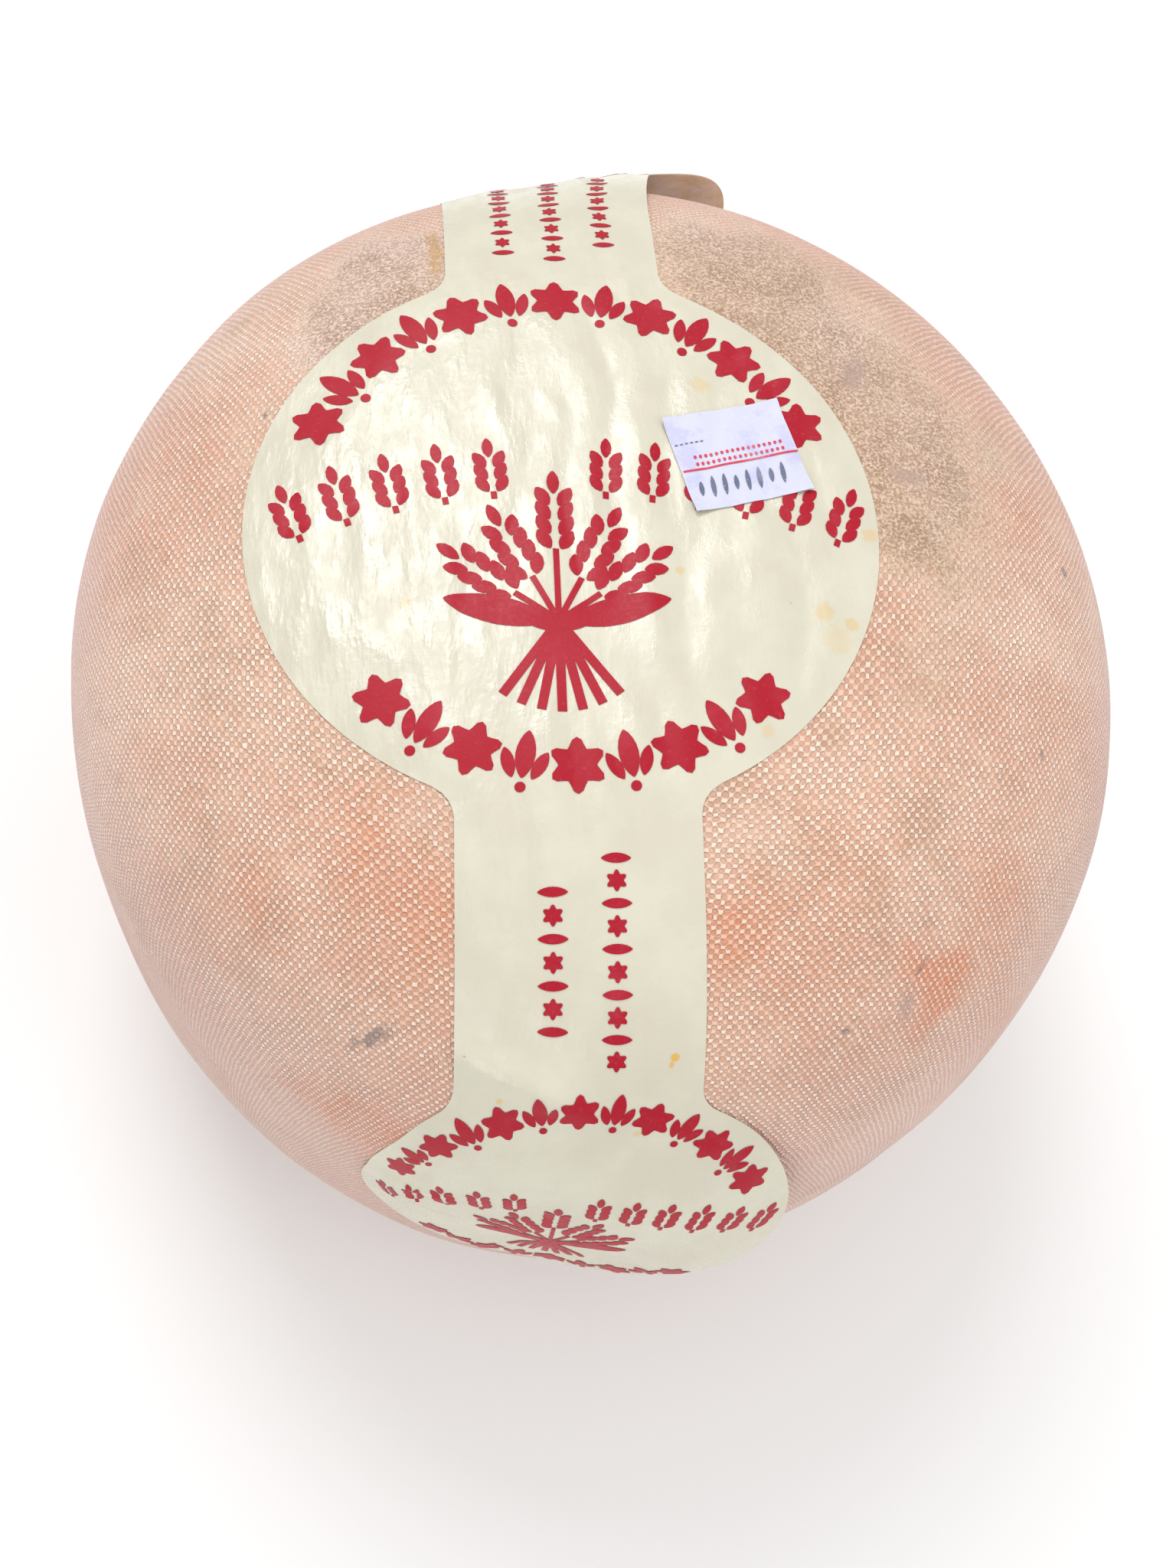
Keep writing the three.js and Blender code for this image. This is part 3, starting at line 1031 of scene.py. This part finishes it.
# ---- the band ----
class CHEESE_OT_band(bpy.types.Operator):
    """Add the paper band over the crown"""

    bl_idname = "cheese.band"
    bl_label = "Paper band"

    def execute(self, context):
        band = context.scene.cheese_band
        shape = band_shape(context.scene)
        paper = name_piece(grid(PAPER_COLUMNS, PAPER_ROWS), "paper_band")
        flat = []

        def lay(cell):
            along = TOP_DISC_ALONG + shape.reach * math.sin(cell.y * math.pi / 2)
            across = cell.x * shape.half_width(along)
            flat.append((across, along))
            return shape.place(across, along, shape.thickness)

        reshape(paper, lay)
        lay_uv(paper, "flat", flat)
        paper.data.materials.append(paper_finish(band))
        paper.data.materials.append(stained_backlit_underside_finish(band))
        thicken(paper, band.thickness, inner_slot=1)
        shade_smooth(paper, EDGE_ANGLE)
        hand_in(paper, "label_paper", "label_band")
        return {"FINISHED"}


# ---- the print ----
def lay_print(piece, move, ink):
    """Bends a flat print onto the paper, and gives it ink and thickness."""
    reshape(piece, move)
    piece.data.materials.clear()
    piece.data.materials.append(ink)
    thicken(piece, PRINT_THICKNESS * MM)
    shade_smooth(piece, EDGE_ANGLE)
    hand_in(piece, "label_ink")


def leaf_motif(sides, rings=1):
    """A pointed oval, one long and one wide from its middle."""
    motif = flat_disc(sides, rings)

    def outline(place):
        turn, reach = math.atan2(place.x, place.y), place.length
        side = math.sin(turn)
        return Vector((reach * side * math.sqrt(abs(side)), reach * math.cos(turn), 0))

    reshape(motif, outline)
    return motif


def flower_motif():
    """A flower of six round petals."""
    motif = flat_disc(FLOWER_SIDES, 2)

    def outline(place):
        turn = math.atan2(place.x, place.y)
        return place * (0.82 + 0.18 * math.cos(6 * turn))

    reshape(motif, outline)
    return motif


def bud(motifs, x, y, turn, size):
    """A tall leaf between two small ones, and a dot under it."""
    placed = Matrix.Translation((x, y, 0)) @ Matrix.Rotation(-math.radians(turn), 4, "Z")
    parts = []
    for motif, across, up, lean, length, width in BUD:
        middle = placed @ Vector((across * size, up * size, 0))
        parts.append(stamp(motifs[motif], middle.x, middle.y, turn + lean, length * size, width * size))
    return parts


def arc_of_motifs(motifs, span, count, size):
    """Flowers and buds in turn along a circle round the disc's middle."""
    parts = []
    for i in range(count):
        turn = math.radians(span[0] + (span[1] - span[0]) * i / (count - 1))
        x, y = ARC_RADIUS * math.cos(turn), ARC_RADIUS * math.sin(turn)
        heading = 90 - math.degrees(turn) if y > 0 else 270 - math.degrees(turn)
        if i % 2:
            parts += bud(motifs, x, y, heading, size)
        else:
            petals = size * FLOWER_SHARE
            parts.append(stamp(motifs["flower"], x, y, heading, petals, petals))
    return parts


def step_at(lean):
    """A step of one on the flat, at a lean from upright in degrees."""
    return Vector((math.sin(math.radians(lean)), math.cos(math.radians(lean))))


def ear(motifs, foot, lean, stalk, rows, grain):
    """An ear of grain: a stalk from its foot, pairs of grains above it and one at its tip."""
    up = step_at(lean)
    side = Vector((up.y, -up.x))
    parts = [stamp(motifs["stem"], *(foot + up * stalk / 2), lean, stalk / 2, STALK_HALF_WIDTH)]

    def add_grain(place, turn, size):
        parts.append(stamp(motifs["grain"], *place, turn, size[0] * grain, size[1] * grain))

    above = foot + up * (stalk + FIRST_GRAIN * grain)
    for row in range(rows):
        for hand in (-1, 1):
            middle = above + up * GRAIN_STEP * grain * row + side * hand * GRAIN_OUT * grain
            add_grain(middle, lean + hand * GRAIN_LEAN, GRAIN_SIZE)
    add_grain(above + up * GRAIN_STEP * grain * rows, lean, TIP_GRAIN_SIZE)
    return parts


def middle_row(motifs):
    """Ears of grain along a shallow arc, with a gap in the middle."""
    parts = []
    for x in MIDDLE_MOTIFS:
        turn = math.asin(x / MIDDLE_ARC_RADIUS)
        y = MIDDLE_ARC_HEIGHT - MIDDLE_ARC_RADIUS * (1 - math.cos(turn))
        parts += ear(motifs, Vector((x, y - MIDDLE_EAR_DOWN)), math.degrees(turn), *MIDDLE_EAR)
    return parts


def sheaf(motifs):
    """A sheaf of grain: a tie, five ears, the ends of the stalks and two long leaves."""
    tie = Vector(TIE_PLACE)
    parts = [stamp(motifs["leaf"], *tie, 90, *TIE_SIZE)]
    for lean, stalk in SHEAF_EARS:
        parts += ear(motifs, tie, lean, stalk, SHEAF_ROWS, SHEAF_GRAIN)
    for lean in STALK_END_LEANS:
        place = tie - step_at(-lean) * STALK_END_REACH
        parts.append(stamp(motifs["stem"], *place, -lean, *STALK_END_SIZE))
    for hand in (-1, 1):
        place = tie + Vector((BLADE_PLACE[0] * hand, BLADE_PLACE[1]))
        parts.append(stamp(motifs["blade"], *place, hand * BLADE_LEAN, *BLADE_SIZE))
    return parts


def small_rows(motifs, rows):
    """Thin rows along a strip, of slim leaves and small flowers in turn."""
    parts = []
    for across, start, stop, spacing, size in rows:
        count = 1 + round(abs(stop - start) / spacing)
        for i in range(count):
            along = start + (stop - start) * i / (count - 1)
            if i % 2:
                parts.append(stamp(motifs["flower"], across, along, 0, size * 0.36, size * 0.36))
            else:
                parts.append(stamp(motifs["leaf"], across, along, 90, size * 0.5, size * 0.17))
    return parts


class CHEESE_OT_print(bpy.types.Operator):
    """Add the printed ornament on the band"""

    bl_idname = "cheese.print"
    bl_label = "Band print"

    def execute(self, context):
        band = context.scene.cheese_band
        shape = band_shape(context.scene)
        ink = ink_finish("Band ink", band.ink, (0.60, 0.11, 0.15), 0.32)
        motifs = {
            "leaf": leaf_motif(LEAF_SIDES),
            "blade": leaf_motif(BLADE_SIDES, 4),
            "grain": leaf_motif(GRAIN_SIDES),
            "flower": flower_motif(),
            "dot": flat_disc(DOT_SIDES, 0),
            "stem": grid(1, STEM_CELLS),
        }
        drawing = join(
            arc_of_motifs(motifs, UPPER_ARC, UPPER_MOTIFS, UPPER_SIZE)
            + arc_of_motifs(motifs, LOWER_ARC, LOWER_MOTIFS, LOWER_SIZE)
            + middle_row(motifs) + sheaf(motifs), "print_top_disc")
        front_row = join(small_rows(motifs, FRONT_ROWS), "print_front_strip")
        rear_row = join(small_rows(motifs, REAR_ROWS), "print_rear_strip")
        share = shape.end_radius / shape.top_radius
        ink_height = shape.thickness + PRINT_RISE
        prints = [(drawing, TOP_DISC_ALONG, 1.0, 0), (front_row, 0, 1.0, 0), (rear_row, 0, 1.0, 0)]
        for name, side, turn in (("print_front_disc", -1, 0), ("print_rear_disc", 1, 180)):
            small = name_piece(stamp(drawing, 0, 0, 0, 1, 1), name)
            prints.append((small, TOP_DISC_ALONG + side * END_DISC_REACH, share, turn))
        for piece, along, scale, turn in prints:
            place = Matrix.Translation((0, along, 0)) @ Matrix.Rotation(math.radians(turn), 4, "Z")
            piece.data.transform(place @ Matrix.Scale(scale, 4))
            lay_print(piece, lambda flat: shape.place(flat.x, flat.y, ink_height), ink)
        for motif in motifs.values():
            bpy.data.objects.remove(motif)
        return {"FINISHED"}


# ---- the sticker ----
def row_places(count, first, spacing):
    return [first + spacing * i for i in range(count)]


class CHEESE_OT_sticker(bpy.types.Operator):
    """Add the small sticker and its marks"""

    bl_idname = "cheese.sticker"
    bl_label = "Sticker"

    def execute(self, context):
        sticker = context.scene.cheese_sticker
        shape = band_shape(context.scene)
        width, height = sticker.width / MM, sticker.height / MM
        turn = Matrix.Rotation(sticker.turn, 2)

        def on_sticker(across, along, lift):
            middle = turn @ Vector((across, along))
            corner = abs(across) / width + abs(along) / height
            curl = STICKER_CURL * smooth(corner, CURL_START, 1.0) ** 2
            return shape.place(
                STICKER_ACROSS + middle.x, STICKER_ALONG + middle.y,
                shape.thickness + STICKER_RISE + STICKER_THICKNESS + curl + lift)

        label = name_piece(grid(STICKER_CELLS, STICKER_CELLS), "sticker_paper")
        reshape(label, lambda cell: on_sticker(cell.x * width / 2, cell.y * height / 2, 0))
        label.data.materials.append(sticker_finish(sticker))
        thicken(label, STICKER_THICKNESS * MM)
        shade_smooth(label, EDGE_ANGLE)
        hand_in(label, "sticker_paper", "date_sticker")

        leaf, dot, stem = leaf_motif(GRAIN_SIDES), flat_disc(DOT_SIDES, 0), grid(RULE_CELLS, 1)
        rule_up = height * (0.5 - RULE_DOWN)
        red = [stamp(stem, RULE_ACROSS, rule_up, 0, RULE_HALF_WIDTH, width / 2 - RULE_MARGIN)]
        for row in RED_DOT_ROWS:
            red += [stamp(dot, x, rule_up + row, 0, *RED_DOT_SIZE) for x in row_places(*RED_DOTS)]
        grey = []
        for i, x in enumerate(row_places(*LOZENGES)):
            size = (LOZENGE_LENGTHS[i % 3], LOZENGE_HALF_WIDTH)
            grey.append(stamp(leaf, x, rule_up - LOZENGE_DOWN, LOZENGE_LEAN, *size))
        grey += [
            stamp(dot, x, height * GREY_DOTS_UP, 0, *GREY_DOT_SIZE) for x in row_places(*GREY_DOTS)
        ]
        for parts, name, colour in (
            (red, "sticker_rule", sticker.rule), (grey, "sticker_stamp", sticker.stamp),
        ):
            ink = ink_finish(f"{name} ink", colour, (0.62, 0.62, 0.75), 0.7)
            lay_print(join(parts, name), lambda flat: on_sticker(flat.x, flat.y, PRINT_RISE), ink)
        for motif in (leaf, dot, stem):
            bpy.data.objects.remove(motif)
        return {"FINISHED"}


# ---- the stage ----
def add_light(name, place, target, size, power):
    start_fresh()
    bpy.ops.object.light_add(type="AREA", location=place)
    light = name_piece(bpy.context.active_object, name)
    light.data.shape = "DISK"
    light.data.size = size
    light.data.energy = power
    light.rotation_euler = (Vector(target) - Vector(place)).to_track_quat("-Z", "Y").to_euler()


def camera_frame():
    """Place of the camera in millimetres from the widest level, and its right, up and back."""
    elevation, azimuth = math.radians(CAMERA_ELEVATION), math.radians(CAMERA_AZIMUTH)
    out = math.cos(elevation)
    place = Vector((-out * math.sin(azimuth), -out * math.cos(azimuth), math.sin(elevation)))
    place *= CAMERA_DISTANCE
    forward = -place.normalized()
    right = forward.cross(Vector((0, 0, 1))).normalized()
    up = right.cross(forward)
    aimed = forward + math.tan(math.radians(LOOK_RIGHT)) * right + math.tan(math.radians(LOOK_UP)) * up
    aimed.normalize()
    level = (right - right.dot(aimed) * aimed).normalized()
    above = level.cross(aimed)
    cosine, sine = math.cos(math.radians(CAMERA_ROLL)), math.sin(math.radians(CAMERA_ROLL))
    return place, cosine * level + sine * above, cosine * above - sine * level, -aimed


class CHEESE_OT_stage(bpy.types.Operator):
    """Add the floor, the lights and the camera"""

    bl_idname = "cheese.stage"
    bl_label = "Stage"

    def execute(self, context):
        stage = context.scene.cheese_stage
        shape = WheelShape(context.scene.cheese_wheel)
        start_fresh()
        bpy.ops.mesh.primitive_plane_add(size=stage.floor_size)
        floor = name_piece(context.active_object, "studio_floor")
        floor.data.materials.append(floor_finish(stage))

        for name, place, target, size, power in LIGHTS:
            add_light(name, place, target, size, getattr(stage, power))
        world = bpy.data.worlds.new("Studio")
        context.scene.world = world
        world.use_nodes = True
        world.node_tree.nodes["Background"].inputs["Color"].default_value = (1, 1, 1, 1)
        world.node_tree.nodes["Background"].inputs["Strength"].default_value = stage.sky
        context.scene.view_settings.view_transform = "Standard"

        place, right, up, back = camera_frame()
        start_fresh()
        bpy.ops.object.camera_add()
        camera = context.active_object
        camera.data.lens = CAMERA_LENS
        camera.data.sensor_width = CAMERA_SENSOR
        camera.data.clip_start = CAMERA_CLIP
        turned = Matrix((right, up, back)).transposed().to_4x4()
        camera.matrix_world = Matrix.Translation(shape.in_frame(place)) @ turned
        context.scene.camera = camera
        return {"FINISHED"}


class CHEESE_PT_panel(bpy.types.Panel):
    """Lists what the add-on builds"""

    bl_idname = "CHEESE_PT_panel"
    bl_label = "Cheese wheel"
    bl_space_type = "VIEW_3D"
    bl_region_type = "UI"
    bl_category = "Cheese"

    def draw(self, context):
        for operator in OPERATORS:
            self.layout.operator(operator.bl_idname)
        for settings in ("cheese_wheel", "cheese_band", "cheese_sticker", "cheese_stage"):
            group = getattr(context.scene, settings)
            box = self.layout.box()
            for name in group.bl_rna.properties.keys():
                if name not in ("rna_type", "name"):
                    box.prop(group, name)


SETTINGS = {
    "cheese_wheel": WheelSettings,
    "cheese_band": BandSettings,
    "cheese_sticker": StickerSettings,
    "cheese_stage": StageSettings,
}
OPERATORS = (CHEESE_OT_stage, CHEESE_OT_wheel, CHEESE_OT_band, CHEESE_OT_print, CHEESE_OT_sticker)
CLASSES = (*SETTINGS.values(), *OPERATORS, CHEESE_PT_panel)


def register():
    for kind in CLASSES:
        bpy.utils.register_class(kind)
    for name, group in SETTINGS.items():
        setattr(bpy.types.Scene, name, bpy.props.PointerProperty(type=group))


def unregister():
    for name in SETTINGS:
        delattr(bpy.types.Scene, name)
    for kind in reversed(CLASSES):
        bpy.utils.unregister_class(kind)


def main():
    register()
    bpy.ops.cheese.stage()
    bpy.ops.cheese.wheel()
    bpy.ops.cheese.band()
    bpy.ops.cheese.print()
    bpy.ops.cheese.sticker()


if __name__ == "__main__":
    main()
